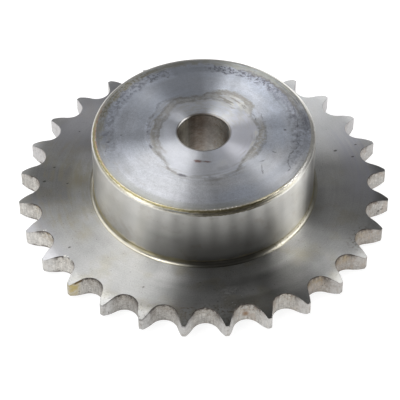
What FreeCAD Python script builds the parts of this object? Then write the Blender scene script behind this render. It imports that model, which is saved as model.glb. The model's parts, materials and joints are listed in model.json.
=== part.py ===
import FreeCAD, Part
import math
import os

# Chain sprocket for a half-inch roller chain: a toothed plate and a boss, turned from one bar.
# The origin is the centre of the plate's back face. +Z is the bore's axis, towards the boss.
# A tooth gap lies on +X. Millimetres and degrees.

# Driving dimensions of the chain and the teeth
chain_pitch = 12.7
roller_diameter = 8.51
tooth_count = 28
seat_clearance = 0.045
seating_angle = 130.0
flank_radius = 30.6
tip_height = 2.285
plate_thickness = 7.2
relief_radius = 13.0
relief_depth = 1.3

# Driving dimensions of the boss and the bore
boss_diameter = 70.0
boss_height = 22.8
rim_radius = 1.6
base_fillet = 1.4
bore_diameter = 16.0
bore_edge_break = 0.3

# How far a cutting shape runs past the surface that it cuts
overrun = 2.0

# Sizes that follow from the driving dimensions
pitch_radius = chain_pitch / (2.0 * math.sin(math.pi / tooth_count))
seating_radius = roller_diameter / 2.0 + seat_clearance
tip_radius = pitch_radius + tip_height
boss_radius = boss_diameter / 2.0
bore_radius = bore_diameter / 2.0
overall_length = plate_thickness + boss_height


def polar(centre_x, centre_y, radius, angle):
    """Point at a radius and an angle from a centre, in the plane of the teeth."""
    return FreeCAD.Vector(
        centre_x + radius * math.cos(angle),
        centre_y + radius * math.sin(angle),
        0.0,
    )


def section_point(radius, height):
    """Point of the turned section, in the XZ plane."""
    return FreeCAD.Vector(radius, 0.0, height)


def relief_start():
    """Radius where the side of the teeth starts to curve in, towards the tips."""
    reach = math.sqrt(2.0 * relief_radius * relief_depth - relief_depth ** 2)
    return tip_radius - reach


def relief_point(radius, side):
    """Point on the curved side of the teeth, on the back (side 0) or on the front (side 1)."""
    along = radius - relief_start()
    drop = relief_radius - math.sqrt(relief_radius ** 2 - along ** 2)
    height = plate_thickness - drop if side else drop
    return section_point(radius, height)


def relief_arc(side):
    """Arc of the curved side of the teeth, from the flat face out to the tip."""
    start = relief_start()
    middle = (start + tip_radius) / 2.0
    return Part.Arc(
        relief_point(start, side),
        relief_point(middle, side),
        relief_point(tip_radius, side),
    ).toShape()


def base_fillet_arc():
    """Small inner radius where the boss meets the front face of the plate."""
    centre_radius = boss_radius + base_fillet
    centre_height = plate_thickness + base_fillet
    slant = base_fillet * math.sqrt(0.5)
    return Part.Arc(
        section_point(centre_radius, plate_thickness),
        section_point(centre_radius - slant, centre_height - slant),
        section_point(boss_radius, centre_height),
    ).toShape()


def rim_arc():
    """Rounded edge between the boss's wall and its front face."""
    centre_radius = boss_radius - rim_radius
    centre_height = overall_length - rim_radius
    slant = rim_radius * math.sqrt(0.5)
    return Part.Arc(
        section_point(boss_radius, centre_height),
        section_point(centre_radius + slant, centre_height + slant),
        section_point(centre_radius, overall_length),
    ).toShape()


def straight(start, end):
    """Straight edge of the section."""
    return Part.LineSegment(start, end).toShape()


def turned_blank():
    """Whole turned body before the teeth are cut: one section, turned about the bore's axis."""
    back_bore_mouth = section_point(bore_radius + bore_edge_break, 0.0)
    back_tip = relief_point(tip_radius, 0)
    front_tip = relief_point(tip_radius, 1)
    fillet_foot = section_point(boss_radius + base_fillet, plate_thickness)
    fillet_top = section_point(boss_radius, plate_thickness + base_fillet)
    rim_foot = section_point(boss_radius, overall_length - rim_radius)
    rim_top = section_point(boss_radius - rim_radius, overall_length)
    front_bore_mouth = section_point(bore_radius + bore_edge_break, overall_length)
    front_bore_edge = section_point(bore_radius, overall_length - bore_edge_break)
    back_bore_edge = section_point(bore_radius, bore_edge_break)
    edges = [
        straight(back_bore_mouth, relief_point(relief_start(), 0)),
        relief_arc(0),
        straight(back_tip, front_tip),
        relief_arc(1),
        straight(relief_point(relief_start(), 1), fillet_foot),
        base_fillet_arc(),
        straight(fillet_top, rim_foot),
        rim_arc(),
        straight(rim_top, front_bore_mouth),
        straight(front_bore_mouth, front_bore_edge),
        straight(front_bore_edge, back_bore_edge),
        straight(back_bore_edge, back_bore_mouth),
    ]
    section = Part.Face(Part.Wire(Part.__sortEdges__(edges)))
    return section.revolve(FreeCAD.Vector(0, 0, 0), FreeCAD.Vector(0, 0, 1), 360)


def flank_arc(hand):
    """One tooth flank: a convex arc, tangent to the roller seat, that runs out past the tips."""
    half_seat = math.radians(seating_angle) / 2.0
    seat_end_angle = math.pi - hand * half_seat
    arm = seating_radius + flank_radius
    centre = polar(pitch_radius, 0.0, arm, seat_end_angle)
    reach = tip_radius + overrun
    centre_distance = math.hypot(centre.x, centre.y)
    centre_angle = math.atan2(centre.y, centre.x)
    cosine = (centre_distance ** 2 + reach ** 2 - flank_radius ** 2) / (2.0 * centre_distance * reach)
    outer_end = polar(0.0, 0.0, reach, centre_angle - hand * math.acos(cosine))
    seat_end = polar(pitch_radius, 0.0, seating_radius, seat_end_angle)
    start_turn = math.atan2(seat_end.y - centre.y, seat_end.x - centre.x)
    end_turn = math.atan2(outer_end.y - centre.y, outer_end.x - centre.x)
    middle = polar(centre.x, centre.y, flank_radius, (start_turn + end_turn) / 2.0)
    return seat_end, middle, outer_end


def gap_cutter():
    """Space between two teeth on +X: a roller seat and a flank on each side."""
    upper_seat, upper_middle, upper_end = flank_arc(1)
    lower_seat, lower_middle, lower_end = flank_arc(-1)
    seat_bottom = polar(pitch_radius, 0.0, seating_radius, math.pi)
    edges = [
        Part.Arc(upper_seat, seat_bottom, lower_seat).toShape(),
        Part.Arc(lower_seat, lower_middle, lower_end).toShape(),
        straight(lower_end, upper_end),
        Part.Arc(upper_end, upper_middle, upper_seat).toShape(),
    ]
    outline = Part.Face(Part.Wire(Part.__sortEdges__(edges)))
    outline.translate(FreeCAD.Vector(0, 0, -overrun))
    return outline.extrude(FreeCAD.Vector(0, 0, plate_thickness + 2.0 * overrun))


def all_gaps():
    """One cutter for each gap, spaced evenly round the bore's axis."""
    first = gap_cutter()
    cutters = []
    for number in range(tooth_count):
        cutter = first.copy()
        turn = 360.0 * number / tooth_count
        cutter.rotate(FreeCAD.Vector(0, 0, 0), FreeCAD.Vector(0, 0, 1), turn)
        cutters.append(cutter)
    return cutters


def sprocket():
    """Finished sprocket: the turned body with its teeth cut."""
    return turned_blank().cut(all_gaps())


os.makedirs("parts", exist_ok=True)
body = sprocket().Solids[0]
body.exportStep("parts/sprocket.step")
print("sprocket: valid", body.isValid(), "volume mm3", round(body.Volume, 1))
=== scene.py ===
import json
import math
import random

import bmesh
import bpy
from mathutils import Matrix, Vector


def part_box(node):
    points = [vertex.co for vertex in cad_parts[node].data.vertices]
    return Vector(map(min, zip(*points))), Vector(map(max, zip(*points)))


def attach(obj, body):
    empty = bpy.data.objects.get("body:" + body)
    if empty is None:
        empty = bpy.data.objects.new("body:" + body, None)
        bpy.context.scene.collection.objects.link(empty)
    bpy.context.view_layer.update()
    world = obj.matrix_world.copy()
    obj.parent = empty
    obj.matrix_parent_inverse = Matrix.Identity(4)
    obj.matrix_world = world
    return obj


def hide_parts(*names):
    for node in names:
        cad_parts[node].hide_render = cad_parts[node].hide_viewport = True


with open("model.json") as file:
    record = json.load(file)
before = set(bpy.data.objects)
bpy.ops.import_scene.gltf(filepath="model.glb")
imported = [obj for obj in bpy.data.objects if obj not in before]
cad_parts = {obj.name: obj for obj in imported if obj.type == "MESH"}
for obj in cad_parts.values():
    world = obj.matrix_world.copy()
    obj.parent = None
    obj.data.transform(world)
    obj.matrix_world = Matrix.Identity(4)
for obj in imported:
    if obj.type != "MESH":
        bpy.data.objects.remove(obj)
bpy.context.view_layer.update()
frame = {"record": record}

# The view
# The sprocket lies on a white table, boss up, and is seen from the front and well above
# through a long lens. One tooth gap faces the camera almost squarely.
mm = 0.001
eye_distance = 602.8 * mm
eye_elevation = math.radians(45.95)
eye_turn = math.radians(0.62)
camera_roll = math.radians(-0.09)
image_size = 400
focal_length_in_pixels = 1870.0
aim_left = 1.15 * mm
aim_below = 0.32 * mm


def eye_direction(elevation, turn):
    """Unit vector from the object towards the camera, which stands in front, on the -Y side."""
    flat = math.cos(elevation)
    return Vector((-flat * math.sin(turn), -flat * math.cos(turn), math.sin(elevation)))


def make_camera():
    towards_eye = eye_direction(eye_elevation, eye_turn)
    side = Vector((0.0, 0.0, 1.0)).cross(towards_eye).normalized()
    aim = -side * aim_left - towards_eye.cross(side) * aim_below
    eye = towards_eye * eye_distance
    forward = (aim - eye).normalized()
    right = forward.cross(Vector((0.0, 0.0, 1.0))).normalized()
    up = right.cross(forward)
    level_right = right.copy()
    right = right * math.cos(camera_roll) + up * math.sin(camera_roll)
    up = up * math.cos(camera_roll) - level_right * math.sin(camera_roll)
    data = bpy.data.cameras.new("camera")
    data.sensor_width = 36.0
    data.lens = focal_length_in_pixels * data.sensor_width / image_size
    data.clip_start = 0.01
    data.clip_end = 20.0
    camera = bpy.data.objects.new("camera", data)
    camera.location = eye
    camera.rotation_euler = Matrix((right, up, -forward)).transposed().to_euler()
    bpy.context.scene.collection.objects.link(camera)
    bpy.context.scene.camera = camera


make_camera()

# The turned body
# One piece of bar steel: the toothed plate and the boss are turned together and drilled,
# and the teeth are cut into the plate afterwards. All tool marks stay on it.
mounts = {mount["name"]: mount for mount in frame["record"]["mounts"]}
overall_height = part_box("sprocket")[1].z
tooth_count = mounts["chain"]["dims"]["count"]
pitch_radius = mounts["chain"]["dims"]["pcd_mm"] * mm / 2.0
bore_radius = mounts["bore"]["dims"]["r_mm"] * mm
seat_radius = 4.30 * mm
seat_angle = math.radians(130.0)
flank_radius = 30.6 * mm
tip_radius = pitch_radius + 2.285 * mm
plate_thickness = 7.2 * mm
relief_radius = 13.0 * mm
relief_depth = 1.3 * mm
boss_radius = 35.0 * mm
rim_radius = 1.6 * mm
base_fillet = 1.4 * mm
bore_chamfer = 0.3 * mm
tooth_edge_break = 0.12 * mm
ring_of_roots = 51.0 * mm
relief_start = tip_radius - math.sqrt(2.0 * relief_radius * relief_depth - relief_depth ** 2)
dice = random.Random(28)
zones = ["flanks", "plate_face", "base_fillet", "boss_wall", "rim", "boss_face", "bore", "back_face"]


def tooth_outline():
    """One pitch of the tooth outline, as (radius, angle) pairs from tip to tip round the gap on +X."""
    half_seat = seat_angle / 2.0
    arm = seat_radius + flank_radius
    centre = Vector((pitch_radius - arm * math.cos(half_seat), arm * math.sin(half_seat)))
    seat_end = Vector((pitch_radius - seat_radius * math.cos(half_seat), seat_radius * math.sin(half_seat)))
    squares = centre.length_squared + tip_radius ** 2 - flank_radius ** 2
    tip_angle = math.atan2(centre.y, centre.x) - math.acos(squares / (2.0 * centre.length * tip_radius))
    tip = Vector((tip_radius * math.cos(tip_angle), tip_radius * math.sin(tip_angle)))
    turn_start = math.atan2(seat_end.y - centre.y, seat_end.x - centre.x)
    turn_end = math.atan2(tip.y - centre.y, tip.x - centre.x)
    upper = []
    seat_steps = 7
    for step in range(1, seat_steps + 1):
        turn = math.pi - half_seat * step / seat_steps
        upper.append(Vector((pitch_radius + seat_radius * math.cos(turn), seat_radius * math.sin(turn))))
    flank_steps = 8
    for step in range(1, flank_steps + 1):
        turn = turn_start + (turn_end - turn_start) * step / flank_steps
        upper.append(centre + flank_radius * Vector((math.cos(turn), math.sin(turn))))
    root = Vector((pitch_radius - seat_radius, 0.0))
    lower = [Vector((point.x, -point.y)) for point in reversed(upper)]
    return [(point.length, math.atan2(point.y, point.x)) for point in lower + [root] + upper]


def relief_drop(radius):
    """How far the side of the teeth has curved in at a radius."""
    along = max(0.0, radius - relief_start)
    return relief_radius - math.sqrt(relief_radius ** 2 - along ** 2)


def arc_steps(centre, radius, start, end, steps):
    """Points of an arc of the turned section, without its first point."""
    points = []
    for step in range(1, steps + 1):
        turn = math.radians(start + (end - start) * step / steps)
        points.append((centre[0] + radius * math.cos(turn), centre[1] + radius * math.sin(turn)))
    return points


def spread(start, end, steps):
    """Points of a straight stretch of the turned section, without its first point."""
    points = []
    for step in range(1, steps + 1):
        share = step / steps
        points.append((start[0] + (end[0] - start[0]) * share, start[1] + (end[1] - start[1]) * share))
    return points


def turned_section():
    """The section from the ring of the tooth roots on the front, over the boss and through the bore,
    to the same ring on the back: (zone, points) stretches."""
    fillet_foot = (boss_radius + base_fillet, plate_thickness)
    fillet_centre = (boss_radius + base_fillet, plate_thickness + base_fillet)
    rim_centre = (boss_radius - rim_radius, overall_height - rim_radius)
    rim_foot = (boss_radius, overall_height - rim_radius)
    rim_top = (boss_radius - rim_radius, overall_height)
    mouth = (bore_radius + bore_chamfer, overall_height)
    mouth_foot = (bore_radius, overall_height - bore_chamfer)
    back_mouth_foot = (bore_radius, bore_chamfer)
    back_mouth = (bore_radius + bore_chamfer, 0.0)
    face_margin = 0.35 * mm
    return [
        ("plate_face", spread((ring_of_roots, plate_thickness), fillet_foot, 5)),
        ("base_fillet", arc_steps(fillet_centre, base_fillet, -90, -180, 6)),
        ("boss_wall", spread((boss_radius, plate_thickness + base_fillet), rim_foot, 6)),
        ("rim", arc_steps(rim_centre, rim_radius, 0, 90, 12)),
        ("boss_face", [(rim_top[0] - face_margin, overall_height)] + spread(rim_top, mouth, 8)),
        ("bore", [mouth_foot] + spread(mouth_foot, back_mouth_foot, 6) + [back_mouth]),
        ("back_face", spread(back_mouth, (ring_of_roots, 0.0), 10)),
    ]


def put_ring(verts, radius, height):
    """Moves a ring of vertices to one radius and height."""
    for vert in verts:
        flat = Vector((vert.co.x, vert.co.y, 0.0)).normalized()
        vert.co = flat * radius + Vector((0.0, 0.0, height))


def put_tooth_row(verts, outline, share, front):
    """Moves a ring of vertices to a share of the way from the ring of the roots to the tooth outline."""
    for vert in verts:
        radius = ring_of_roots + (vert[outline] - ring_of_roots) * share
        drop = relief_drop(radius)
        flat = Vector((vert.co.x, vert.co.y, 0.0)).normalized()
        vert.co = flat * radius + Vector((0.0, 0.0, plate_thickness - drop if front else drop))


def grow(bm, edges, zone):
    """Extrudes a ring of edges and gives the new faces their zone. Returns the new edges and vertices."""
    made = bmesh.ops.extrude_edge_only(bm, edges=edges)["geom"]
    new_verts = [part for part in made if isinstance(part, bmesh.types.BMVert)]
    new_edges = [part for part in made if isinstance(part, bmesh.types.BMEdge)]
    for part in made:
        if isinstance(part, bmesh.types.BMFace):
            part.material_index = zones.index(zone)
    return new_edges, new_verts


def dent(verts):
    """Small knocks along the upper edge of the rim, in front, from rough handling."""
    chance = 0.10
    smallest = 0.01
    largest = 0.05
    for vert in verts:
        angle = math.degrees(math.atan2(vert.co.y, vert.co.x))
        if -90.0 < angle < -68.0 and dice.random() < chance:
            knock = dice.uniform(smallest, largest) * mm
            vert.co -= Vector((vert.co.x, vert.co.y, 0.0)).normalized() * knock
            vert.co.z -= knock


def turned_body_mesh():
    outline_points = []
    for number in range(tooth_count):
        turn = 2.0 * math.pi * number / tooth_count
        outline_points += [(radius, angle + turn) for radius, angle in tooth_outline()]
    bm = bmesh.new()
    outline = bm.verts.layers.float.new("outline_radius")
    circle = bmesh.ops.create_circle(bm, cap_ends=False, segments=len(outline_points), radius=tip_radius)
    for vert, (radius, angle) in zip(circle["verts"], outline_points):
        vert[outline] = radius
        vert.co = Vector((radius * math.cos(angle), radius * math.sin(angle), relief_drop(radius)))
    edges, verts = grow(bm, list(bm.edges), "flanks")
    put_tooth_row(verts, outline, 1.0, True)
    relief_rows = 8
    dented_from = boss_radius - rim_radius + 0.01 * mm
    dented_to = dented_from + 0.4 * rim_radius
    weld_distance = 0.002 * mm
    sharp_turn = math.radians(24.0)
    for row in range(relief_rows - 1, -1, -1):
        edges, verts = grow(bm, edges, "plate_face")
        put_tooth_row(verts, outline, row / relief_rows, True)
    for zone, points in turned_section():
        for radius, height in points:
            edges, verts = grow(bm, edges, zone)
            put_ring(verts, radius, height)
            if zone == "rim" and dented_from < radius < dented_to:
                dent(verts)
    for row in range(1, relief_rows + 1):
        edges, verts = grow(bm, edges, "back_face")
        put_tooth_row(verts, outline, row / relief_rows, False)
    bmesh.ops.remove_doubles(bm, verts=bm.verts, dist=weld_distance)
    bmesh.ops.recalc_face_normals(bm, faces=bm.faces)
    sharp = [edge for edge in bm.edges if edge.calc_face_angle(0.0) > sharp_turn]
    broken_edges = bmesh.ops.bevel(
        bm, geom=sharp, offset=tooth_edge_break, offset_type="OFFSET", affect="EDGES",
        segments=2, profile=0.5, material=-1,
    )["faces"]
    for face in broken_edges:
        if face.calc_center_median().xy.length > ring_of_roots:
            face.material_index = zones.index("flanks")
    for face in bm.faces:
        face.smooth = True
    for edge in bm.edges:
        beside = {zones[face.material_index] for face in edge.link_faces}
        edge.smooth = not ("flanks" in beside and len(beside) > 1)
    mesh = bpy.data.meshes.new("turned_body")
    bm.to_mesh(mesh)
    bm.free()
    return mesh


turned_body = bpy.data.objects.new("turned_body", turned_body_mesh())
bpy.context.scene.collection.objects.link(turned_body)
keep_flat = turned_body.modifiers.new("keep_flat", "WEIGHTED_NORMAL")
keep_flat.mode = "FACE_AREA"
keep_flat.keep_sharp = True
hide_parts("sprocket")
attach(turned_body, "root")
for zone in zones:
    turned_body.data.materials.append(None)

# The boss's front face
# Faced off in the lathe, so it carries fine rings. Oil has dried on it in wavy lines round
# the bore, with a bluish film outside them and dark speckled stains towards the rim. Light
# and shade from the lamps' reflections are painted on it by side, with painted glints at the
# bore's edge and on nicks near the rim.


class Finish:
    """Material of one surface of the sprocket. Its places and sizes are in millimetres and degrees."""

    def __init__(self, zone, colour, roughness, anisotropic=0.0):
        self.material = bpy.data.materials.new(zone)
        self.material.use_nodes = True
        self.tree = self.material.node_tree
        self.shader = self.tree.nodes["Principled BSDF"]
        self.shader.inputs["Metallic"].default_value = 1.0
        self.shader.inputs["Anisotropic"].default_value = anisotropic
        self.colour = (*colour, 1.0)
        self.roughness = roughness
        self.metallic = 1.0
        self.height = 0.0
        self.place = self.vector("SCALE", self.put("ShaderNodeTexCoord").outputs["Object"], 1.0 / mm)
        self.level = self.vector("MULTIPLY", self.place, (1.0, 1.0, 0.0))
        self.radius = self.vector("LENGTH", self.level)
        self.outwards = self.vector("NORMALIZE", self.level)
        self.x, self.y, self.z = self.put("ShaderNodeSeparateXYZ", {0: self.place}).outputs
        self.uneven = None

    def put(self, kind, values=(), **settings):
        """Adds a node, gives it its settings and feeds its sockets with numbers or other nodes."""
        node = self.tree.nodes.new(kind)
        for name, setting in settings.items():
            setattr(node, name, setting)
        for socket, value in dict(values).items():
            self.feed(node.inputs[socket], value)
        return node

    def feed(self, socket, value):
        if isinstance(value, bpy.types.NodeSocket):
            self.tree.links.new(value, socket)
        elif socket.type == "RGBA" and len(value) == 3:
            socket.default_value = (*value, 1.0)
        else:
            socket.default_value = value

    def calc(self, operation, first, second=0.0):
        return self.put("ShaderNodeMath", {0: first, 1: second}, operation=operation).outputs[0]

    def vector(self, operation, first, second=None):
        """One step of reckoning with a place, a direction or a colour."""
        node = self.put("ShaderNodeVectorMath", {0: first}, operation=operation)
        if second is not None:
            self.feed(node.inputs[3 if operation == "SCALE" else 1], second)
        return node.outputs["Value" if operation in ("LENGTH", "DOT_PRODUCT") else 0]

    def upright(self, height):
        """Direction straight up, as long as a height."""
        return self.put("ShaderNodeCombineXYZ", {2: height}).outputs[0]

    def slant(self, rise, run):
        """Angle of a slope in degrees."""
        return self.both(self.calc("ARCTAN2", rise, run), math.degrees(1.0))

    def both(self, share, *others):
        """What two or more shares have in common."""
        for other in others:
            share = self.calc("MULTIPLY", share, other)
        return share

    def either(self, first, second):
        return self.calc("MAXIMUM", first, second)

    def rest(self, share):
        return self.calc("SUBTRACT", 1.0, share)

    def between(self, value, start, end, low=0.0, high=1.0):
        """Soft step from low to high as a value goes from start to end."""
        values = {0: value, 1: start, 2: end, 3: low, 4: high}
        return self.put("ShaderNodeMapRange", values, interpolation_type="SMOOTHSTEP").outputs[0]

    def band(self, value, start, full_start, full_end, end):
        """Share that is 1 from full_start to full_end, and fades out to start and to end."""
        return self.both(self.between(value, start, full_start), self.between(value, end, full_end))

    def clouds(self, size, detail=3.0, where=None, roughness=0.55):
        """Cloudy pattern round 0.5, with lumps of about a size in millimetres."""
        values = {0: self.place if where is None else where, 2: 1.0 / size, 3: detail, 4: roughness}
        return self.put("ShaderNodeTexNoise", values).outputs[0]

    def rings(self, pitch, arc=0.0, detail=1.0):
        """Pattern drawn out round the axis, with about a pitch from ring to ring. A higher arc
        breaks the rings up into shorter pieces."""
        across = self.upright(self.calc("DIVIDE", self.radius, pitch))
        return self.clouds(1.0, detail, self.vector("ADD", self.vector("SCALE", self.outwards, arc), across))

    def spots(self, size, start, end, detail=3.0, roughness=0.55):
        """Share of scattered spots of about a size. The higher its start and end, the fewer there are."""
        return self.between(self.clouds(size, detail, roughness=roughness), start, end)

    def streaks(self, pitch, arc, detail, start, end):
        """Share of scattered streaks that lie round the axis."""
        return self.between(self.rings(pitch, arc, detail), start, end)

    def sector(self, middle, half_width):
        """Share that is 1 towards one side of the axis and fades out at a half width."""
        turn = math.radians(middle)
        near = self.vector("DOT_PRODUCT", self.outwards, (math.cos(turn), math.sin(turn), 0.0))
        full_width = 0.4 * half_width
        return self.between(near, math.cos(math.radians(half_width)), math.cos(math.radians(full_width)))

    def ragged(self, amount):
        """Place on a level face, shifted a little to and fro so that the edge of a stain isn't even."""
        if self.uneven is None:
            noise = self.put("ShaderNodeTexNoise", {0: self.level, 2: 0.9, 3: 3.0}).outputs["Color"]
            self.uneven = self.vector("SUBTRACT", noise, (0.5, 0.5, 0.5))
        return self.vector("ADD", self.level, self.vector("SCALE", self.uneven, amount))

    def mark(self, x, y, long, wide, turn=0.0, ragged=0.0, soft=0.6):
        """Share of an oval mark on a level face. Long and wide are its half length and half width."""
        turned = (0.0, 0.0, math.radians(turn))
        values = {0: self.ragged(ragged), 1: (x, y, 0.0), 2: turned, 3: (long, wide, 1.0)}
        local = self.put("ShaderNodeMapping", values, vector_type="TEXTURE").outputs[0]
        from_middle = self.vector("LENGTH", self.vector("MULTIPLY", local, (1.0, 1.0, 0.0)))
        return self.between(from_middle, 1.0, 1.0 - soft)

    def stroke(self, points, width, ragged=0.0):
        """Share of a thin line through a few points on a level face."""
        share = 0.0
        for (x1, y1), (x2, y2) in zip(points, points[1:]):
            half = math.hypot(x2 - x1, y2 - y1) / 2.0
            turn = math.degrees(math.atan2(y2 - y1, x2 - x1))
            piece = self.mark((x1 + x2) / 2.0, (y1 + y2) / 2.0, half + width, width, turn, ragged, 0.9)
            share = self.either(piece, share)
        return share

    def tint(self, colour, *shares):
        """Lays a colour over the surface where all shares meet."""
        values = {0: self.both(*shares), 6: self.colour, 7: colour}
        self.colour = self.put("ShaderNodeMix", values, data_type="RGBA").outputs[2]

    def shade(self, pattern, low, high):
        """Makes the surface darker and lighter with a pattern round 0.5."""
        grey = self.put("ShaderNodeMapRange", {0: pattern, 1: 0.25, 2: 0.75, 3: low, 4: high}).outputs[0]
        values = {0: 1.0, 6: self.colour, 7: grey}
        self.colour = self.put("ShaderNodeMix", values, data_type="RGBA", blend_type="MULTIPLY").outputs[2]

    def scale(self, amount, *shares):
        """Paints light or shade: makes the surface lighter or darker by an amount where all shares meet."""
        factor = self.calc("ADD", self.both(*shares, amount - 1.0), 1.0)
        self.colour = self.vector("SCALE", self.colour, factor)

    def relight(self, value, rows):
        """Paints light and shade on parts of the surface: makes them lighter or darker. A row holds a share,
        or the edges between which it goes with a value, then the middle and half width of a side, and the
        amount."""
        for where, side, half_width, amount in rows:
            if isinstance(where, tuple):
                where = self.band(value, *where) if len(where) == 4 else self.between(value, *where)
            self.scale(amount, where, self.sector(side, half_width))

    def matt(self, share, roughness):
        self.roughness = self.put("ShaderNodeMix", {0: share, 2: self.roughness, 3: roughness}).outputs[0]

    def crust(self, share, metallic):
        """Lets a stain or a crust hide the bare metal by a share."""
        self.metallic = self.put("ShaderNodeMix", {0: share, 2: self.metallic, 3: metallic}).outputs[0]

    def raise_by(self, pattern, height):
        """Adds a pattern to the height of the surface, in millimetres."""
        self.height = self.calc("ADD", self.both(pattern, height), self.height)

    def finish(self, tangent=None):
        """Connects what has been laid on so far, and gives the material to its zone of the turned body."""
        self.feed(self.shader.inputs["Base Color"], self.colour)
        self.feed(self.shader.inputs["Roughness"], self.roughness)
        self.feed(self.shader.inputs["Metallic"], self.metallic)
        if tangent is not None:
            self.feed(self.shader.inputs["Tangent"], tangent)
        bump = self.put("ShaderNodeBump", {0: 1.0, 1: mm, 3: self.height}).outputs[0]
        self.feed(self.shader.inputs["Normal"], bump)
        turned_body.data.materials[zones.index(self.material.name)] = self.material


bare_face = (0.6, 0.61, 0.64)
blue_film = (0.5, 0.535, 0.61)
lavender_film = (0.62, 0.62, 0.69)
clean_steel_and_glint = (0.7, 0.7, 0.71)
clean_middle = (0.68, 0.695, 0.745)
oil_edge = (0.24, 0.225, 0.215)
oil_beige = (0.47, 0.44, 0.38)
oil_grey = (0.38, 0.365, 0.34)
dried_white_and_glint = (0.72, 0.71, 0.66)
dried_film = (0.55, 0.54, 0.49)
bare_grey = (0.6, 0.6, 0.61)
dark_stain = (0.17, 0.17, 0.2)
dark_cell = (0.13, 0.13, 0.155)
grey_green = (0.45, 0.45, 0.37)
oil_brown = (0.33, 0.31, 0.24)
olive_brown = (0.2, 0.18, 0.12)
red_brown = (0.28, 0.15, 0.13)
main_line = [
    (-180, 15.9), (-165, 16.2), (-150, 16.6), (-135, 17.6), (-118, 20), (-95, 20.5), (-68, 20.2), (-50, 18),
    (-38, 16.8), (-10, 17), (0, 17.6), (22, 16.6), (38, 19.2), (60, 19.8), (85, 17.6), (95, 16.2),
    (120, 17.2), (145, 15.8), (180, 15.9),
]
inner_line = [
    (-180, 13.8), (-150, 15.3), (-120, 19), (-60, 18.6), (-25, 16), (0, 16.5), (30, 15.8), (60, 14.2),
    (72, 15.4), (105, 14.4), (120, 14.8), (150, 13.4), (180, 13.8),
]
outer_line = [
    (-180, 17.2), (-150, 18), (-120, 21), (-60, 20), (-45, 18.6), (-15, 19.6), (25, 19.2), (60, 21),
    (90, 19), (125, 18.2), (135, 18.8), (150, 17.6), (180, 17.2),
]


def past_line(finish, here, line):
    """How far here lies outside a line round the axis that goes through (angle, radius) pairs."""
    lowest = 10
    highest = 25
    angle = finish.calc("ARCTAN2", finish.y, finish.x)
    share = finish.put("ShaderNodeMapRange", {0: angle, 1: -math.pi, 2: math.pi}).outputs[0]
    node = finish.put("ShaderNodeFloatCurve", {1: share})
    curve = node.mapping.curves[0]
    pairs = [((degrees + 180) / 360, (radius - lowest) / (highest - lowest)) for degrees, radius in line]
    curve.points[0].location = pairs[0]
    curve.points[1].location = pairs[-1]
    for pair in pairs[1:-1]:
        curve.points.new(*pair)
    node.mapping.update()
    line_radius = finish.put("ShaderNodeMapRange", {0: node.outputs[0], 3: lowest, 4: highest}).outputs[0]
    return finish.calc("SUBTRACT", here, line_radius)


everywhere = 1
face = Finish("boss_face", bare_face, 0.31, 0.97)
streaky = face.between(face.rings(0.45, 9, 2), 0.32, 0.62, 0.35, 1)
# Bluish streaks, faded out on the left where the lamps' glare falls, so that the glare keeps a painted clean
# colour.
away_from_glare = face.between(face.sector(-132, 64), 1, 0, 0.15, 1)
face.tint(blue_film, face.streaks(9, 1.2, 2, 0.35, 0.65), away_from_glare)
face.tint(blue_film, face.sector(60, 95), 0.5)
face.tint(blue_film, face.sector(172, 44), 0.7)
face.shade(face.rings(2.2, 2.5, 3), 0.92, 1.08)
face.shade(face.clouds(1.1, 3), 0.9, 1.1)
face.shade(face.rings(0.25, 1.6), 0.96, 1.04)
face.shade(face.clouds(0.4, 2), 0.86, 1.14)
face.raise_by(face.rings(0.3, 2), 0.003)
face.raise_by(face.clouds(0.5), 0.002)

wobble = face.between(face.rings(2.4, 4, 2), 0.25, 0.75, -0.5, 0.5)
wobble = face.calc("ADD", wobble, face.between(face.clouds(0.8, 3), 0.2, 0.8, -0.28, 0.28))
here = face.calc("ADD", face.radius, wobble)
past_main = past_line(face, here, main_line)
past_inner = past_line(face, here, inner_line)
past_outer = past_line(face, here, outer_line)
patchy = face.between(face.rings(1.3, 5, 3), 0.36, 0.6, 0.2, 1)
mottled = face.between(face.clouds(1.2, 4, roughness=0.65), 0.38, 0.6, 0.25, 1)
inside = face.between(past_main, 0, -1.2)
outside = face.rest(inside)
face.tint(clean_middle, inside, 0.55)
# Painted light and shade, by side round the axis.
face.relight(face.radius, (
    (inside, -80, 32, 1.2), (everywhere, -27, 60, 1.38), ((30, 32), -34, 34, 0.75),
))
# Painted shade outside the oil line and painted light inside it, on the back and on the left.
relit_back_sides = face.either(face.sector(98, 28), face.sector(162, 34))
face.scale(0.86, outside, relit_back_sides)
face.scale(1.1, inside, relit_back_sides)
face.tint(lavender_film, inside, face.sector(-15, 62), 0.6)
face.tint(dried_film, inside, face.sector(72, 80), face.streaks(0.8, 5, 4, 0.4, 0.62), 0.45)
# More painted light and shade by side, inside and outside the oil line.
face.relight(face.radius, (
    (inside, 142, 22, 0.8), (inside, -14, 30, 1.22), (outside, -96, 13, 1.3), (outside, -178, 13, 0.97),
    (outside, 165, 19, 1.22), (outside, 79, 14, 1.4), (outside, -41, 13, 1.02), (outside, 11, 11, 0.84),
))
face.tint(bare_grey, outside, face.sector(-40, 24), 0.5)
face.tint(blue_film, outside, face.sector(110, 52), 0.4)
# Painted light and shade by side near the rim.
far_out = face.between(face.radius, 25.5, 28)
face.relight(face.radius, (
    (far_out, 119, 13, 1.35), (far_out, 166, 18, 1.2), (far_out, -151, 13, 0.8), (far_out, 31, 13, 0.76),
))
rim_side = face.between(face.radius, 30.4, 31.8)
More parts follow.
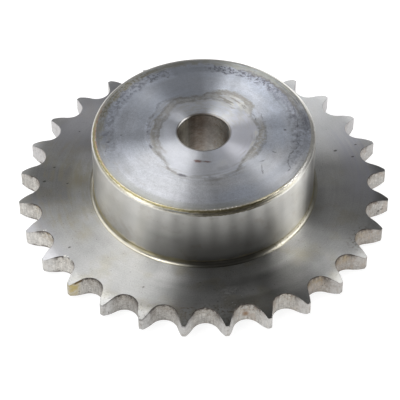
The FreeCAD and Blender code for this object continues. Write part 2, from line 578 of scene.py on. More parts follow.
# Painted shade on the front near the rim, with a grey-green tint there, then more painted light and shade by
# side.
face.scale(0.82, rim_side, face.sector(-105, 50))
face.tint(grey_green, rim_side, face.sector(-105, 50), 0.28)
face.relight(face.radius, (
    (rim_side, 22, 40, 0.78), (rim_side, 158, 26, 0.8), ((32, 32.8), -172, 22, 0.84),
    ((30.4, 31, 32, 32.7), -27, 14, 1.28),
))
film = face.both(face.between(past_inner, -0.6, 0.5), face.between(past_main, 0.5, -0.3))
face.tint(oil_grey, film, face.sector(136, 88), mottled, 0.7)
face.tint(dried_white_and_glint, film, face.sector(45, 26), face.streaks(1.2, 6, 4, 0.42, 0.56), 0.65)
face.tint(oil_grey, film, face.sector(60, 30), face.streaks(0.9, 5, 3, 0.52, 0.62))
right_film = face.both(face.between(past_main, -0.5, 0.5), face.between(past_outer, 0.4, -0.6))
face.tint(oil_beige, right_film, face.sector(-14, 40), mottled, 0.75)
near_line = face.band(past_main, -3.6, -0.8, 0.8, 3.2)
face.tint(oil_grey, near_line, face.streaks(0.75, 3, 2, 0.48, 0.62), 0.36)
broad_line = face.both(face.band(past_main, -1.2, -0.2, 0.2, 1), mottled)
face.tint(oil_grey, broad_line, face.between(face.sector(-84, 30), 0, 1, 0.55, 0.25))
thin_line = face.both(face.band(past_main, -0.55, -0.1, 0.15, 0.6), patchy)
left_half = face.between(face.sector(-14, 70), 1, 0, 0.25, 0.55)
face.tint(oil_edge, thin_line, left_half, face.between(face.sector(-84, 30), 0, 1, 1, 0.35))
face.tint(oil_grey, face.band(past_main, -2.6, -1.6, 0.6, 1.4), face.sector(-168, 34), mottled, 0.55)
face.tint(oil_grey, face.band(past_main, -1.6, -0.8, 0.4, 1.2), face.sector(54, 32), mottled, 0.8)
inner_side = face.either(face.sector(125, 100), face.sector(-168, 30))
face.tint(oil_edge, face.band(past_inner, -0.7, -0.1, 0.2, 0.8), inner_side, patchy, 0.5)
outer_side = face.either(face.both(face.sector(-8, 40), 0.6), face.sector(158, 46))
face.tint(dark_stain, face.band(past_outer, -0.8, -0.1, 0.2, 0.8), outer_side, mottled, 0.55)
# A darker ring round the bore's mouth, with a painted glint on its edge at the back left.
mouth = face.between(face.radius, 8.9, 8.4)
face.tint(oil_edge, mouth, 0.8)
face.tint(clean_steel_and_glint, mouth, face.sector(132, 16), 0.6)

outward = face.calc("ADD", face.radius, face.between(face.clouds(2.6, 3), 0.2, 0.8, -0.9, 0.9))
speckled = face.band(outward, 27.2, 29, 31, 31.9)
back_speckled = face.either(face.sector(60, 34), face.both(face.sector(134, 32), 0.65))
side_speckled = face.either(face.both(face.sector(8, 48), 0.55), face.both(face.sector(172, 36), 0.5))
speckled = face.both(speckled, face.either(back_speckled, side_speckled))
face.tint(dark_stain, speckled, 0.3)
crisp = face.both(speckled, face.between(back_speckled, 0, 0.5))
face.tint(dark_cell, crisp, face.spots(1.2, 0.46, 0.57, 4, 0.68), 0.88)
soft_cells = face.spots(1.9, 0.44, 0.6, 4, 0.6)
face.tint(dark_stain, speckled, soft_cells, face.between(back_speckled, 0.5, 0), 0.85)
face.tint(dark_stain, face.between(outward, 24, 30), side_speckled, face.spots(0.7, 0.52, 0.64), 0.55)
smudged = face.both(face.between(outward, 25.5, 28.5), face.sector(24, 46))
face.tint(dark_stain, smudged, face.spots(2, 0.44, 0.62, 4, 0.62), 0.5)
face.tint(dark_stain, face.spots(0.7, 0.7, 0.75, 2), face.between(past_main, 0, 2), 0.45)
back_rim = face.both(face.between(outward, 31, 31.9), streaky)
face.tint(grey_green, back_rim, face.sector(52, 40), 0.75)
face.tint(oil_brown, back_rim, face.sector(136, 76), 0.85)
face.tint(dark_stain, back_rim, face.sector(22, 26), face.streaks(0.5, 4, 3, 0.42, 0.58), 0.75)
olive_spots = face.both(face.spots(1, 0.46, 0.6, 4, 0.65), face.between(face.radius, 30.8, 32))
face.tint(olive_brown, olive_spots, face.sector(146, 34), 0.7)
# Painted glints on small nicks along the front edge of the face.
edge_nick_glints = face.both(face.between(face.radius, 32.9, 33.3), face.spots(0.7, 0.44, 0.56))
face.tint(dried_white_and_glint, edge_nick_glints, face.sector(-95, 34), 0.55)
face.tint(grey_green, face.between(face.radius, 32.2, 33.2), face.sector(-108, 60), streaky, 0.6)
near_rim = face.both(face.band(outward, 27.5, 29.5, 31.5, 32.5), face.sector(-152, 34))
face.tint(oil_grey, near_rim, face.streaks(1.4, 7, 3, 0.5, 0.62), 0.35)
face.tint(oil_edge, face.band(outward, 30.4, 31, 31.5, 32), face.sector(40, 34), 0.65)

for x, y, long, wide, turn in (
    (-25.6, -1.2, 0.4, 0.35, 0), (-29.6, -4.3, 0.75, 0.5, 10), (-30.2, -8.3, 0.4, 0.3, 0),
    (-16.4, -6.3, 1.4, 0.6, -65), (25.4, 0.7, 0.6, 0.45, -20), (-17.4, 0.2, 0.45, 0.4, 0),
    (-6.8, -18.9, 2.1, 0.75, -20), (-11.2, 25.4, 0.5, 0.3, 20),
):
    face.tint(dark_stain, face.mark(x, y, long, wide, turn, 0.5), 0.75)
long_line = [
    (27.9, -8.5), (26.2, -10.4), (25.9, -12.2), (25.6, -13.6), (26, -15.1), (26.5, -16.2), (25.2, -17.7),
]
for points, width in (
    ([(16.8, -13.4), (18.8, -12.6)], 0.3), ([(17.9, -16.9), (17.8, -18.6)], 0.3),
    ([(17.7, -19), (17.6, -13.2)], 0.18),
    (long_line, 0.36),
    ([(28.1, 13.1), (29.3, 6.2), (29.3, 0), (28.7, -4), (29.5, -6.3), (27.9, -8.5)], 0.26),
    ([(20.6, -8.4), (22.4, -9.6)], 0.28), ([(16.6, 4.6), (16.2, 6.6), (15.2, 8.2)], 0.26),
    ([(18.4, 5.4), (18.2, 8.4)], 0.28),
):
    face.tint(dark_stain, face.stroke(points, width, 0.9), 0.7)
face.tint(oil_edge, face.stroke([(-3.4, -12.6), (2.4, -13.3)], 0.65, 0.8), 0.45)
face.tint(red_brown, face.mark(-1.9, -12.9, 1.7, 0.8, -8, 0.7), 0.85)
face.tint(red_brown, face.mark(1, -13.2, 1.6, 0.45, -4, 0.8), 0.75)
for points in ([(0.7, -23.3), (1.7, -23.1)], [(5.8, -27), (6.3, -26.8)], [(9, -24), (19.5, -20.5)]):
    face.tint(clean_steel_and_glint, face.stroke(points, 0.12, 0.1), 0.5)
# Painted light and shade by side, along the oil lines and towards the rim.
face.relight(face.radius, (
    ((15.2, 16.4, 17.8, 19), -180, 24, 1.32), ((15.2, 16.4, 17.8, 19), -14, 20, 1.34),
    ((19, 17), 64, 17, 0.85), ((21, 22.5, 29, 30.5), 52, 15, 1.13),
    ((27.5, 28.5, 29.8, 30.6), 84, 24, 0.86), ((18.6, 20, 27, 28.5), -29, 10, 1.14),
    ((24, 25.5, 27, 28.5), 166, 13, 0.86), ((19, 19.7, 20.4, 21.2), -84, 16, 1.14),
    ((15.6, 16.6, 17.4, 18.4), -140, 18, 0.88), ((15.6, 16.6, 17.4, 18.4), -70, 8, 0.86),
    ((15.6, 16.6, 17.4, 18.4), -42, 8, 0.85), ((12.4, 13.6, 17.2, 18.6), 38, 9, 0.87),
    ((12.2, 13.4, 17, 18.6), 139, 8, 0.87), ((8.5, 9, 11.6, 12.8), 129, 8, 1.17),
    ((8.5, 9, 11.6, 12.8), -99, 8, 1.15), ((18.8, 19.6, 20.6, 21.4), -60, 9, 1.12),
    ((27.2, 28.4, 29.6, 30.6), 30, 20, 1.1), ((8.5, 9, 12, 13), -178, 16, 1.12),
))
face.matt(face.both(speckled, 0.6), 0.42)
face.finish(face.outwards)

# The boss's rim
# The edge of the boss, rounded with a form tool. Thin yellowish oil has dried along it, and
# its upper edge has a few nicks. The lamps' reflections are painted on it: pale and cream
# highlights on the left and right, painted shade in front, and painted glints on the nicks.
rim_colour = (0.56, 0.55, 0.52)
highlight_pale = (0.74, 0.725, 0.685)
highlight_cream = (0.7, 0.655, 0.5)
worn_edge = (0.36, 0.335, 0.29)
red_edge = (0.4, 0.24, 0.17)
oil_olive = (0.205, 0.17, 0.05)
dark_oil_and_shade = (0.115, 0.098, 0.06)
oil_cream = (0.6, 0.56, 0.42)
nick_glint = (0.8, 0.78, 0.72)

rim = Finish("rim", rim_colour, 0.3)
lift = rim.calc("SUBTRACT", rim.z, (overall_height - rim_radius) / mm)
out = rim.calc("SUBTRACT", rim.radius, (boss_radius - rim_radius) / mm)
wander = rim.between(rim.clouds(1.5, 4), 0.25, 0.75, -5, 5)
slope = rim.calc("ADD", rim.slant(lift, out), wander)
left_and_front = rim.either(rim.sector(-150, 60), rim.sector(-95, 56))
# Painted highlights where the lamps reflect in the rounding, on the left and on the right.
lamp_highlights = rim.both(rim.between(slope, 56, 40), rim.either(rim.sector(-119, 36), rim.sector(-42, 17)))
rim.tint(highlight_pale, lamp_highlights)
# Painted light and shade by side.
rim.relight(slope, (((50, 34), -40, 14, 1.25), ((56, 36), -6, 24, 0.5)))
rim.tint(worn_edge, rim.between(slope, 74, 84), left_and_front, 0.55)
oily = rim.both(rim.band(slope, 38, 52, 70, 84), left_and_front)
rim.tint(oil_olive, oily, 0.85)
# Painted shade on the front of the rim.
rim.tint(dark_oil_and_shade, rim.band(slope, -2, 10, 70, 80), rim.sector(-77, 27), 0.88)
# Painted shade on a band of the rounding, on the left and in front.
rim.scale(0.78, rim.band(slope, 52, 57, 64, 70), left_and_front)
# More painted light and shade by side and by place on the rounding.
rim.relight(slope, (
    ((24, 34, 48, 54), -77, 25, 1.75), ((-6, 6, 18, 28), -77, 25, 0.48), ((-14, 0, 22, 34), -102, 13, 0.62),
    ((50, 57, 66, 74), -32, 24, 0.66),
))
rim.tint(oil_cream, rim.band(slope, 64, 72, 90, 95), rim.sector(-54, 14))
# More painted light and shade by side and by place on the rounding.
rim.relight(slope, (
    ((48, 55, 66, 72), -58, 16, 0.55), ((32, 40, 50, 57), -108, 18, 1.9), ((48, 56, 66, 74), -40, 12, 0.78),
    ((64, 70, 82, 88), -44, 22, 1.45), ((34, 40, 50, 55), -144, 26, 1.08),
    ((24, 30, 48, 54), -95, 15, 1.35), ((64, 70, 82, 88), -88, 16, 0.72), ((26, 14), -58, 12, 0.76),
    ((66, 56), -26, 9, 0.82), ((42, 34), -8, 13, 0.76), ((50, 36), 60, 24, 0.72), ((60, 46), 22, 18, 1.3),
))
# Painted cream highlights on the side of the rounding, on the left and on the right.
both_highlights = rim.either(rim.sector(-130, 40), rim.sector(-47, 14))
rim.tint(highlight_cream, rim.band(slope, 8, 28, 50, 58), both_highlights, 0.6)
# More painted light and shade by side and by place on the rounding.
rim.relight(slope, (
    ((34, 40, 50, 55), -115, 22, 1.2), ((26, 16), -130, 70, 0.88), ((52, 57, 66, 72), -155, 18, 0.78),
    ((52, 57, 66, 72), -98, 12, 0.72), ((36, 44, 64, 70), -56, 10, 1.28), ((66, 70, 80, 86), -50, 34, 1.15),
))
reddened = rim.both(rim.band(slope, 70, 77, 88, 92), rim.spots(1.2, 0.42, 0.56))
rim.tint(red_edge, reddened, rim.sector(-178, 30), 0.8)
rim.shade(rim.clouds(0.6, 3), 0.86, 1.14)
rim.matt(oily, 0.4)
rim.shade(rim.clouds(3.5), 0.92, 1.08)
# Painted glints on nicks in the rim's upper edge, in front.
glint_spots = rim.both(rim.spots(0.7, 0.53, 0.58), rim.between(slope, 74, 82))
rim.tint(nick_glint, glint_spots, rim.sector(-79, 16))
rim.crust(rim.both(glint_spots, rim.sector(-79, 8)), 0.3)
rim.raise_by(rim.clouds(0.5, 3), 0.006)
rim.finish()

# The boss's wall
# Turned along the bar with a fine feed, so its rings run round the boss, one above the other.
# Light and shade are painted on it by side and height: painted shade on its front, deepest
# low down, and painted light along its foot except in front.
wall_colour = (0.45, 0.445, 0.425)
wall_brown = (0.3, 0.26, 0.22)
wall_oil = (0.48, 0.46, 0.4)
gathered_oil = (0.37, 0.33, 0.21)

wall = Finish("boss_wall", wall_colour, 0.3, 0.85)
ring_pitch = 0.28
wall_rings = wall.clouds(1, 1, wall.upright(wall.calc("DIVIDE", wall.z, ring_pitch)))
wall.shade(wall_rings, 0.95, 1.05)
wall.shade(wall.clouds(6, 4), 0.93, 1.07)
wall.tint(wall_brown, wall.spots(4, 0.55, 0.72, 4), 0.3)
# Painted shade on the front of the wall, deepest towards the foot.
wall.scale(0.6, wall.sector(-83, 28), wall.between(wall.z, 27, 13, 0.28, 1))
# Painted light and shade by side and height.
wall.relight(wall.z, (
    (everywhere, -35, 19, 1.4), ((24, 28), -38, 17, 1.12), ((20, 27), -130, 34, 1.18),
    ((17, 12), -130, 34, 0.87), ((22, 28), -5, 16, 0.72), (everywhere, -58, 11, 1.32),
    (everywhere, -31, 9, 1.22), (everywhere, -20, 7, 0.8), ((20, 17), -111, 12, 0.8),
    ((24, 26.5), -166, 15, 0.8),
))
# Painted light and shade near the foot, by side.
near_foot = wall.between(wall.z, 11.5, 9.5)
wall.relight(wall.radius, ((near_foot, -76, 28, 0.78), (near_foot, -38, 13, 1.18)))
brown_patch = wall.both(wall.sector(-142, 20), wall.band(wall.z, 9, 10, 14, 18))
wall.tint(wall_brown, brown_patch, wall.spots(2.2, 0.42, 0.6, 4), 0.35)
low_down = wall.calc("ADD", wall.z, wall.between(wall.clouds(2.2, 3), 0.25, 0.75, -0.35, 0.35))
oily_foot = wall.between(wall.sector(-37, 26), 1, 0, 0.2, 0.75)
wall.tint(gathered_oil, wall.between(low_down, 9.5, 8.6), oily_foot)
# Painted light along the foot, except in front.
wall.scale(1.42, wall.between(low_down, 9.8, 8.8), wall.rest(wall.sector(-84, 46)))
wall.tint(wall_oil, wall.sector(-34, 24), wall.between(low_down, 20, 10), 0.5)
wall.tint(wall_brown, wall.spots(0.7, 0.69, 0.74, 2), 0.5)
wall.raise_by(wall_rings, 0.003)
wall.finish(wall.upright(1))

# The corner between the boss and the plate
# A small inner radius left by the tool's nose. Dirty oil has gathered on its upper half.
# Light and shade are painted on it by side, with painted shade on its front.
corner_colour = (0.31, 0.295, 0.25)
corner_front_shade = (0.1, 0.097, 0.085)

corner = Finish("base_fillet", corner_colour, 0.3, 0.7)
below_middle = corner.calc("SUBTRACT", (plate_thickness + base_fillet) / mm, corner.z)
before_middle = corner.calc("SUBTRACT", (boss_radius + base_fillet) / mm, corner.radius)
inwards = corner.calc("DIVIDE", below_middle, base_fillet / mm)
upwards = corner.calc("DIVIDE", before_middle, base_fillet / mm)
bend = corner.slant(upwards, inwards)
up_the_wall = corner.between(corner.z, 7.5, 7.95)
oily_corner = corner.between(corner.sector(-37, 26), 1, 0, 0.3, 0.85)
corner.tint(gathered_oil, up_the_wall, oily_corner)
# Painted light along the upper half except in front, and a little painted shade on the right below it.
corner.scale(1.42, up_the_wall, corner.rest(corner.sector(-84, 46)))
corner.scale(0.95, corner.sector(-26, 26), corner.between(up_the_wall, 1, 0))
# Painted shade on the front of the corner.
corner.tint(corner_front_shade, corner.sector(-79, 28), 0.95)
corner.tint(dark_oil_and_shade, corner.spots(0.8, 0.6, 0.66, 2), corner.sector(-40, 30), 0.7)
# Painted highlights on the left and right, then painted light and shade by side.
corner.scale(1.65, corner.sector(-107, 12), corner.between(bend, 62, 48))
corner.scale(1.6, corner.sector(-55, 11), corner.between(bend, 58, 42, 0.3, 1))
corner.relight(bend, (
    ((4, 20), -37, 17, 1.42), ((40, 28), -80, 24, 1.5), ((36, 56), -128, 11, 0.58),
    ((4, 14, 36, 52), 0, 14, 1.42),
))
corner.shade(corner.clouds(2.4), 0.9, 1.1)
corner.raise_by(corner.clouds(0.5), 0.004)
level_part = corner.vector("SCALE", corner.outwards, corner.both(inwards, -1))
corner.finish(corner.vector("ADD", level_part, corner.upright(upwards)))

# The plate's front face
# Faced off in the lathe up to the boss, and turned down in a curve towards the tips. The
# rings are a third of a millimetre apart. Thumbed oil has left brownish clouds on them.
# Light and shade from the lamps' reflections are painted on it by side, and a few chips near
# the tooth tips carry painted glints.
plate_colour = (0.4, 0.4, 0.395)
plate_oil = (0.36, 0.33, 0.24)
speck = (0.09, 0.085, 0.08)
dirt_brown = (0.16, 0.13, 0.1)
dust_grey = (0.62, 0.61, 0.6)
lilac_film = (0.42, 0.42, 0.48)
pale_film = (0.45, 0.46, 0.48)
blue_shade = (0.37, 0.37, 0.43)
brown_smear = (0.34, 0.31, 0.25)
relief_colour = (0.3, 0.3, 0.29)


def plate_finish(zone):
    plate = Finish(zone, plate_colour, 0.31, 0.97)
    plate.tint(plate_oil, plate.spots(9, 0.5, 0.68), 0.35)
    plate.shade(plate.clouds(4, 4), 0.92, 1.08)
    plate.shade(plate.clouds(0.4, 2), 0.87, 1.13)
    plate.shade(plate.rings(0.3, 1.5), 0.96, 1.04)
    plate.raise_by(plate.rings(0.32, 1), 0.0025)
    plate.raise_by(plate.clouds(0.8), 0.002)
    plate.tint(speck, plate.spots(0.75, 0.71, 0.76, 2), 0.75)
    return plate


front = plate_finish("plate_face")
# Painted light and shade by side.
front.relight(front.radius, (
    (everywhere, -82, 18, 1.28), (everywhere, -14, 18, 0.82), (everywhere, -52, 14, 0.84),
    ((44, 40), -84, 30, 1.22), ((44, 40), -166, 18, 1.14), (everywhere, 33, 24, 1.18),
))
# More painted light and shade by side, for the inner and the outer part.
outer_part = front.between(front.radius, 41, 44)
inner_part = front.rest(outer_part)
front.relight(front.radius, (
    (outer_part, -59, 13, 0.64), (outer_part, -180, 12, 0.8), (inner_part, -74, 14, 1.2),
    (inner_part, 168, 12, 1.22), (inner_part, -104, 9, 1.22), ((44.5, 47), -132, 10, 1.14),
    ((42.5, 40.5), -147, 11, 0.91), ((46.5, 49), -96, 6, 0.82), ((41.5, 43, 45, 46.5), -107, 8, 1.12),
    ((42, 38.5), -45, 13, 0.8), ((46.5, 50), -46, 12, 1.22), ((49, 50.8), -71, 14, 0.72),
))
front.tint(lilac_film, front.sector(134, 34), 0.45)
# Painted shade on the left.
front.scale(0.93, front.sector(165, 40))
front.tint(pale_film, front.sector(42, 30), 0.45)
# Painted light on the back right.
front.scale(1.26, front.sector(58, 26))
blue_streaks = front.between(front.rings(1.2, 3, 6), 0.35, 0.65, 0.3, 1)
front.tint(blue_shade, front.between(front.radius, 42, 50), blue_streaks, front.sector(10, 24), 0.7)
brown_tips = front.both(front.between(front.radius, 50.5, 54), front.spots(1.6, 0.42, 0.6, 4, 0.65))
front.tint(brown_smear, brown_tips, front.sector(-88, 26), 0.6)
wiped_oil = front.both(front.streaks(1.6, 4, 3, 0.45, 0.62), front.sector(-178, 34))
front.tint(plate_oil, wiped_oil, front.spots(5, 0.35, 0.6), 0.5)
front.tint(plate_oil, front.mark(-41, 1.7, 6, 7, 0, 3.5, 1), 0.6)
front.tint(plate_oil, front.mark(-37, -22, 6, 3.5, 60, 4, 1), 0.35)
front.tint(plate_oil, front.mark(31, -31, 8, 5, 40, 4, 1), 0.4)
for x, y, size in (
    (-48, 7.7, 0.45), (-50.9, 1.4, 0.65), (43, 14.5, 0.7), (48.4, 11.7, 0.55), (-41.8, -27.3, 0.5),
    (-18.7, -43.9, 0.45), (49.7, 17.2, 0.45), (-40.5, 24.3, 0.35), (-43.5, 0.4, 0.45),
):
    front.tint(speck, front.mark(x, y, size * 1.2, size * 0.75, 20, 0.4), 0.85)
dirty = front.both(front.spots(0.8, 0.52, 0.62), front.between(front.radius, 49.5, 53))
front.tint(dirt_brown, dirty, front.either(front.sector(-86, 16), front.sector(-26, 8)), 0.6)
dust = front.both(front.mark(8, -45.5, 10, 4.5, 0, 5, 1), front.spots(0.7, 0.46, 0.6, 4))
front.tint(dust_grey, dust, 0.35)
front.crust(front.both(dust, 0.1), 0)
front.tint(relief_colour, front.between(front.radius, relief_start / mm, tip_radius / mm), 0.6)
# Painted light and shade by side on the turned-down tips.
front.relight(front.radius, (
    ((52.5, 56), -142, 44, 0.84), ((53.5, 57.5), 150, 60, 1.45), ((51.5, 54), -108, 13, 0.8),
))
gritty = front.both(front.between(front.radius, 52.5, 55.5), front.spots(0.7, 0.55, 0.61, 4, 0.7))
front.tint(speck, gritty, front.sector(-116, 26), 0.55)
front.tint(lilac_film, front.between(front.radius, 50, 54), front.sector(-158, 20), 0.3)
# Painted glints on small chips near the tooth tips.
for x, y, long, turn in (
    (-43.1, -30.9, 0.75, 30), (-42.1, -31.2, 0.35, 0), (-50.1, -20.1, 0.35, 0), (-49.4, -20, 0.3, 0),
):
    chip = front.mark(x, y, long, 0.34, turn, 0.3)
    front.tint(dried_white_and_glint, chip)
    front.crust(front.both(chip, 0.8), 0.2)
for x, y in ((6, -49.3), (9, -51.3), (8.2, -50.4), (11, -47.5)):
    front.tint(clean_steel_and_glint, front.mark(x, y, 0.3, 0.25))
front.finish(front.outwards)

# The plate's back face
# Faced off like the front. It has lain on shelves, so it is scuffed and a little duller.
back = plate_finish("back_face")
back.tint(wall_brown, back.spots(14, 0.45, 0.65, 4), 0.35)
scuffs = back.put("ShaderNodeMapping", {0: back.place, 2: (0, 0, 0.6), 3: (0.12, 2.5, 1)}).outputs[0]
back.tint(clean_steel_and_glint, back.between(back.clouds(1, 2, scuffs), 0.64, 0.72), 0.4)
back.matt(back.spots(8, 0.4, 0.7), 0.4)
back.finish(back.outwards)

# The tooth gaps
# Cut across the plate by a hob, which leaves upright marks. The steel is freshly cut there, with
# tan rust starting in it, a dark torn burr along the upper edge with a painted shadow under it,
# and dirt hanging from it. Light and shade are painted on the flanks by side, and two chips
# carry painted glints.
flank_colour = (0.42, 0.405, 0.38)
rust_tan = (0.4, 0.33, 0.27)
rust_brown = (0.27, 0.185, 0.125)
rust_ochre = (0.36, 0.285, 0.175)
flank_dirt = (0.14, 0.12, 0.105)
dark_burr = (0.07, 0.06, 0.052)
chip_grey = (0.62, 0.62, 0.62)
pale_flank = (0.56, 0.555, 0.58)
yellow_oil = (0.44, 0.36, 0.165)
brown_oil = (0.12, 0.08, 0.04)

flank = Finish("flanks", flank_colour, 0.42)
inside_relief = flank.calc("MAXIMUM", flank.calc("SUBTRACT", flank.radius, relief_start / mm), 0)
squared = flank.calc("SUBTRACT", (relief_radius / mm) ** 2, flank.calc("POWER", inside_relief, 2))
drop = flank.calc("SUBTRACT", relief_radius / mm, flank.calc("SQRT", squared))
depth = flank.calc("SUBTRACT", flank.calc("SUBTRACT", plate_thickness / mm, drop), flank.z)
drawn_up = flank.vector("MULTIPLY", flank.place, (1, 1, 0.14))
hob_marks = flank.clouds(0.4, 2, drawn_up)
height = flank.calc("SUBTRACT", flank.z, drop)
at_tip = flank.between(flank.radius, 54.8, 57.4)
in_root = flank.between(flank.radius, 55.2, 53.2)
pale_side = flank.either(flank.sector(64, 58), flank.sector(144, 28))
dirty_side = flank.between(pale_side, 1, 0, 0.1, 1)
off_tip = flank.both(flank.rest(at_tip), dirty_side)
flank.shade(hob_marks, 0.78, 1.22)
flank.shade(flank.clouds(1, 4, roughness=0.65), 0.74, 1.26)
flank.shade(flank.clouds(0.45, 3), 0.8, 1.2)
# Painted light and shade by side.
flank.relight(flank.radius, (
    (everywhere, -152, 44, 1.26), (everywhere, -118, 20, 0.8), (everywhere, -68, 16, 1.14),
    (everywhere, -150, 14, 1.12), (everywhere, 144, 28, 1.28),
))
flank.tint(pale_flank, pale_side, 0.6)
# More painted light and shade by side.
flank.relight(flank.radius, ((everywhere, -8, 22, 1.08), (everywhere, -34, 30, 0.78)))
flank.tint(rust_tan, flank.sector(-36, 30), 0.25)
on_the_right = flank.sector(-30, 75)
rusting = flank.both(flank.spots(2.8, 0.44, 0.66), flank.between(flank.clouds(0.7, 3, drawn_up), 0.4, 0.6))
flank.tint(rust_tan, rusting, flank.between(on_the_right, 0, 1, 0.15, 0.6))
ochre = flank.both(in_root, flank.between(depth, 4.6, 1.2))
ochre = flank.both(ochre, flank.between(flank.clouds(1.6, 4, roughness=0.62), 0.4, 0.58, 0.15, 1))
ochre_sides = flank.either(flank.sector(-163, 13), flank.sector(-40, 26))
flank.tint(rust_ochre, ochre, flank.between(ochre_sides, 0, 1, 0.15, 0.75))
hanging = flank.between(flank.clouds(0.8, 3, drawn_up), 0.48, 0.62)
hanging = flank.both(hanging, flank.between(depth, 3.6, 0.3))
flank.tint(flank_dirt, hanging, dirty_side, 0.65, flank.between(at_tip, 0, 1, 1, 0.3))
rust_spots = flank.both(flank.spots(1.3, 0.57, 0.66, 4, 0.65), flank.between(depth, 5.5, 1))
flank.tint(rust_brown, rust_spots, dirty_side, flank.between(on_the_right, 0, 1, 0.25, 0.65))
edge_unevenness = flank.between(flank.clouds(1.1, 4, roughness=0.65), 0.3, 0.7, -0.8, 0.8)
# A dark line under the top edge: dirt on the burr and a painted shadow of the burr.
burr = flank.both(flank.between(flank.calc("ADD", depth, edge_unevenness), 1, 0.35), off_tip)
flank.tint(flank_dirt, burr, 0.75)
flecks = flank.both(flank.spots(0.8, 0.57, 0.63, 4, 0.72), flank.between(depth, 2.8, 0.9))
flank.tint(dark_burr, flecks, off_tip, 0.8)
# Darker towards the bottom of the flanks, on the left.
foot = flank.between(flank.calc("ADD", height, flank.both(edge_unevenness, 0.8)), 0.75, 0.15)
flank.tint(flank_dirt, foot, flank.between(flank.sector(-172, 50), 0, 1, 0.25, 0.85))
gritty_gaps = flank.both(flank.spots(0.7, 0.5, 0.6, 4, 0.7), flank.sector(-110, 34))
flank.tint(flank_dirt, gritty_gaps, flank.between(depth, 5, 1, 0.25, 0.55))
edge_dirt = flank.between(flank.calc("ADD", depth, flank.both(edge_unevenness, 0.5)), 0.8, 0.35)
flank.tint(dark_burr, edge_dirt, flank.sector(-110, 34), 0.65)
torn = flank.between(flank.calc("ADD", depth, flank.both(edge_unevenness, 0.35)), 0.42, 0.15)
torn = flank.both(torn, off_tip, flank.between(flank.clouds(1.4, 3), 0.36, 0.5, 0.25, 1))
flank.tint(dark_burr, torn, 0.8)
flank.crust(flank.both(torn, 0.9), 0.15)
flank.tint(flank_dirt, flank.spots(0.55, 0.66, 0.72, 2), 0.6)
flank.tint(chip_grey, flank.spots(0.6, 0.62, 0.7), flank.between(depth, 2.5, 5, 0.2, 0.6))
polished_tip = flank.both(
    at_tip, flank.between(flank.clouds(1.2, 4, roughness=0.65), 0.35, 0.55, 0.3, 1),
)
flank.tint(chip_grey, polished_tip, flank.between(flank.sector(-95, 85), 0, 1, 0.1, 0.45))
soaked = flank.both(
    flank.between(flank.clouds(1.5, 4, roughness=0.6), 0.36, 0.56, 0.5, 1),
    flank.between(depth, 6.5, 2, 0.4, 1),
)
flank.tint(yellow_oil, flank.mark(-40, -41.8, 2.9, 2.6, 0, 1, 0.8), soaked)
flank.tint(
    brown_oil, flank.mark(-38.6, -41.2, 1.9, 1.4, 0, 0.6, 0.5), flank.between(depth, 1.1, 0.5), 0.95,
)
flank.tint(yellow_oil, flank.mark(-46.2, -20.3, 3.2, 2.4, 0, 1.5, 0.8), 0.3)
flank.tint(
    rust_brown, flank.mark(12.1, -51, 1.5, 1.2, 0, 1.2, 0.8), flank.band(flank.z, 1.2, 2.6, 3.2, 4.4),
)
for x, y, low, high in ((56.6, -7.9, 3.5, 2.7), (55.6, -8.1, 2.8, 2.2)):
    pit = flank.both(
        flank.mark(x, y, 0.55, 0.5, 0, 0.2),
        flank.band(flank.z, low - 0.9, low - 0.6, high + 0.3, high + 0.6),
    )
    flank.tint(dark_burr, pit, 0.9)
flank.tint(dark_burr, flank.spots(0.9, 0.66, 0.7, 3, 0.6), dirty_side, 0.75)
# Painted glints on two small chips at the top edge.
for x, y in ((-42.9, -31.3), (-41.4, -32.5)):
    chip_glint = flank.both(flank.mark(x, y, 0.9, 0.7, 30, 0.3), flank.between(depth, 1.1, 0.7))
    flank.tint(dried_white_and_glint, chip_glint)
    flank.crust(flank.both(chip_glint, 0.8), 0.2)
flank.matt(flank.spots(2.6, 0.4, 0.7), 0.55)
flank.matt(torn, 0.7)
flank.raise_by(hob_marks, 0.014)
flank.raise_by(flank.clouds(0.4, 3), 0.012)
flank.finish()

# The bore
# Drilled and left rough, with rings one above the other, flat patches of a brown film and
# a little rust. Painted reflections make its wall light on the back right and back left, with a
# dark band beside the left one, and painted light and shade change with depth, darker further
# down. Its upper edge is broken and darker, with a painted glint on the back left.
bore_colour = (0.46, 0.415, 0.37)
bore_film = (0.31, 0.25, 0.215)
bore_light_reflection = (0.98, 0.97, 0.95)
bore_olive_reflection = (1, 0.97, 0.86)
bore_dark = (0.14, 0.12, 0.1)
bore_rust = (0.42, 0.3, 0.2)
bright_edge = (0.85, 0.85, 0.83)

bore = Finish("bore", bore_colour, 0.38)
bore_ring_pitch = 0.6
bore_rings = bore.clouds(1, 2, bore.upright(bore.calc("DIVIDE", bore.z, bore_ring_pitch)))
bore.shade(bore_rings, 0.95, 1.05)
lying = bore.vector("MULTIPLY", bore.place, (0.4, 0.4, 1.2))
bore.tint(bore_film, bore.between(bore.clouds(1, 3, lying), 0.42, 0.62), 0.6)
# Painted reflections: light on the back right and back left of the wall.
bore.tint(bore_light_reflection, bore.sector(36, 60), 0.92)
bore.tint(bore_olive_reflection, bore.sector(146, 28), 0.96)
# Painted shade deeper down the bore, and painted light and shade by side.
bore.scale(0.66, bore.between(bore.z, 28, 25.5))
bore.relight(bore.z, (
    ((24.8, 23), 100, 24, 1.3), (everywhere, 129, 9, 0.68), (everywhere, 149, 22, 0.84),
))
# Painted shade just under the mouth except at the back, and painted light nearer the top.
bore.scale(0.7, bore.between(bore.z, 28.9, 29.3), bore.rest(bore.sector(104, 26)))
bore.scale(1.25, bore.between(bore.z, 27.5, 29.5))
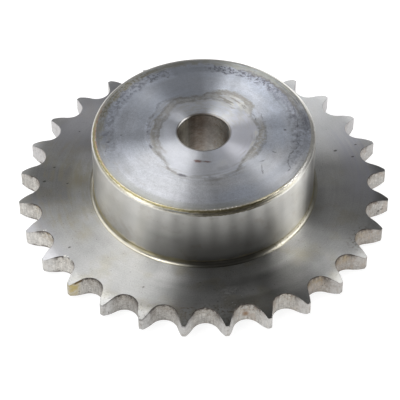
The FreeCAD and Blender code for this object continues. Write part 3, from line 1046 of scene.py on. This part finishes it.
# A painted dark reflection band on the back left.
bore.tint(bore_dark, bore.sector(118, 12), 0.35)
bore.tint(bore_rust, bore.spots(1, 0.52, 0.62, 4, 0.68), bore.sector(46, 34), 0.42)
bore.shade(bore.clouds(0.8, 4, roughness=0.68), 0.76, 1.24)
bore.shade(bore.clouds(2.5, 2), 0.88, 1.12)
# The edge break is darker, and carries a painted glint on the back left.
edge_break = bore.between(bore.z, 29.3, 29.65)
bore.tint(bore_dark, edge_break, 0.75)
bore.tint(bright_edge, edge_break, bore.sector(142, 26), 0.6)
bore.raise_by(bore_rings, 0.006)
bore.raise_by(bore.clouds(0.6, 3), 0.01)
bore.finish()

# The table
# A plain white sheet under the sprocket. It shows as white, and it keeps the contact shadow.
floor_half_width = 1.5
floor_grey = 0.3
floor_glow = 0.88


def make_floor():
    bm = bmesh.new()
    bmesh.ops.create_grid(bm, x_segments=1, y_segments=1, size=floor_half_width)
    mesh = bpy.data.meshes.new("table")
    bm.to_mesh(mesh)
    bm.free()
    floor = bpy.data.objects.new("table", mesh)
    bpy.context.scene.collection.objects.link(floor)
    material = bpy.data.materials.new("white_table")
    material.use_nodes = True
    tree = material.node_tree
    sheet = tree.nodes["Principled BSDF"]
    sheet.inputs["Base Color"].default_value = (floor_grey, floor_grey, floor_grey, 1.0)
    sheet.inputs["Specular IOR Level"].default_value = 0.0
    white = tree.nodes.new("ShaderNodeEmission")
    white.inputs["Color"].default_value = (1.0, 1.0, 1.0, 1.0)
    ray = tree.nodes.new("ShaderNodeLightPath")
    seen = ray.outputs["Is Camera Ray"]
    for kind in ("Is Glossy Ray", "Is Transmission Ray"):
        larger = tree.nodes.new("ShaderNodeMath")
        larger.operation = "MAXIMUM"
        tree.links.new(seen, larger.inputs[0])
        tree.links.new(ray.outputs[kind], larger.inputs[1])
        seen = larger.outputs[0]
    strength = tree.nodes.new("ShaderNodeMath")
    strength.operation = "MULTIPLY"
    strength.inputs[1].default_value = floor_glow
    tree.links.new(seen, strength.inputs[0])
    tree.links.new(strength.outputs[0], white.inputs["Strength"])
    both = tree.nodes.new("ShaderNodeAddShader")
    tree.links.new(sheet.outputs[0], both.inputs[0])
    tree.links.new(white.outputs[0], both.inputs[1])
    tree.links.new(both.outputs[0], tree.nodes["Material Output"].inputs["Surface"])
    mesh.materials.append(material)


make_floor()

# The lights
# Soft boxes round the table: a tall bank on the left and behind, a smaller one on the right,
# and nothing on the camera's side, which is why the front of the plate and the rim are dark.
lamp_distance = 1.0
room_light = 0.099


def softbox(name, azimuth, elevation, width, height, radiance):
    """Area lamp aimed at the boss. Azimuth is counted from +X towards +Y. Angles are in degrees."""
    data = bpy.data.lights.new(name, "AREA")
    data.shape = "RECTANGLE"
    data.size = 2.0 * lamp_distance * math.tan(math.radians(width / 2.0))
    data.size_y = 2.0 * lamp_distance * math.tan(math.radians(height / 2.0))
    data.energy = radiance * math.pi * data.size * data.size_y
    lamp = bpy.data.objects.new(name, data)
    flat = math.cos(math.radians(elevation))
    way = Vector((
        flat * math.cos(math.radians(azimuth)),
        flat * math.sin(math.radians(azimuth)),
        math.sin(math.radians(elevation)),
    ))
    lamp.location = way * lamp_distance
    lamp.rotation_euler = (-way).to_track_quat("-Z", "Y").to_euler()
    bpy.context.scene.collection.objects.link(lamp)


softbox("left", 165, 50, 50, 20, 2.07)
softbox("left_back", 140, 54, 20, 16, 2.47)
softbox("left_middle", 172, 34, 60, 14, 2.64)
softbox("high_left", 157, 70, 24, 18, 5.18)
softbox("high_left_front", 202, 70, 24, 18, 2.57)
softbox("low_left_front", 212, 14, 22, 26, 2.52)
softbox("low_left_back", 130, 10, 22, 20, 1.39)
softbox("back", 100, 55, 40, 26, 0.27)
softbox("back_middle", 100, 36, 20, 20, 0.37)
softbox("low_back", 70, 14, 20, 22, 2.47)
softbox("right", 15, 50, 20, 20, 5.07)
softbox("right_middle", 20, 36, 20, 20, 1.05)
softbox("right_low", -2, 22, 30, 36, 1.34)

world = bpy.data.worlds.new("world")
world.use_nodes = True
world.node_tree.nodes["Background"].inputs["Color"].default_value = (room_light, room_light, room_light, 1.0)
bpy.context.scene.world = world
bpy.context.scene.view_settings.view_transform = "Standard"
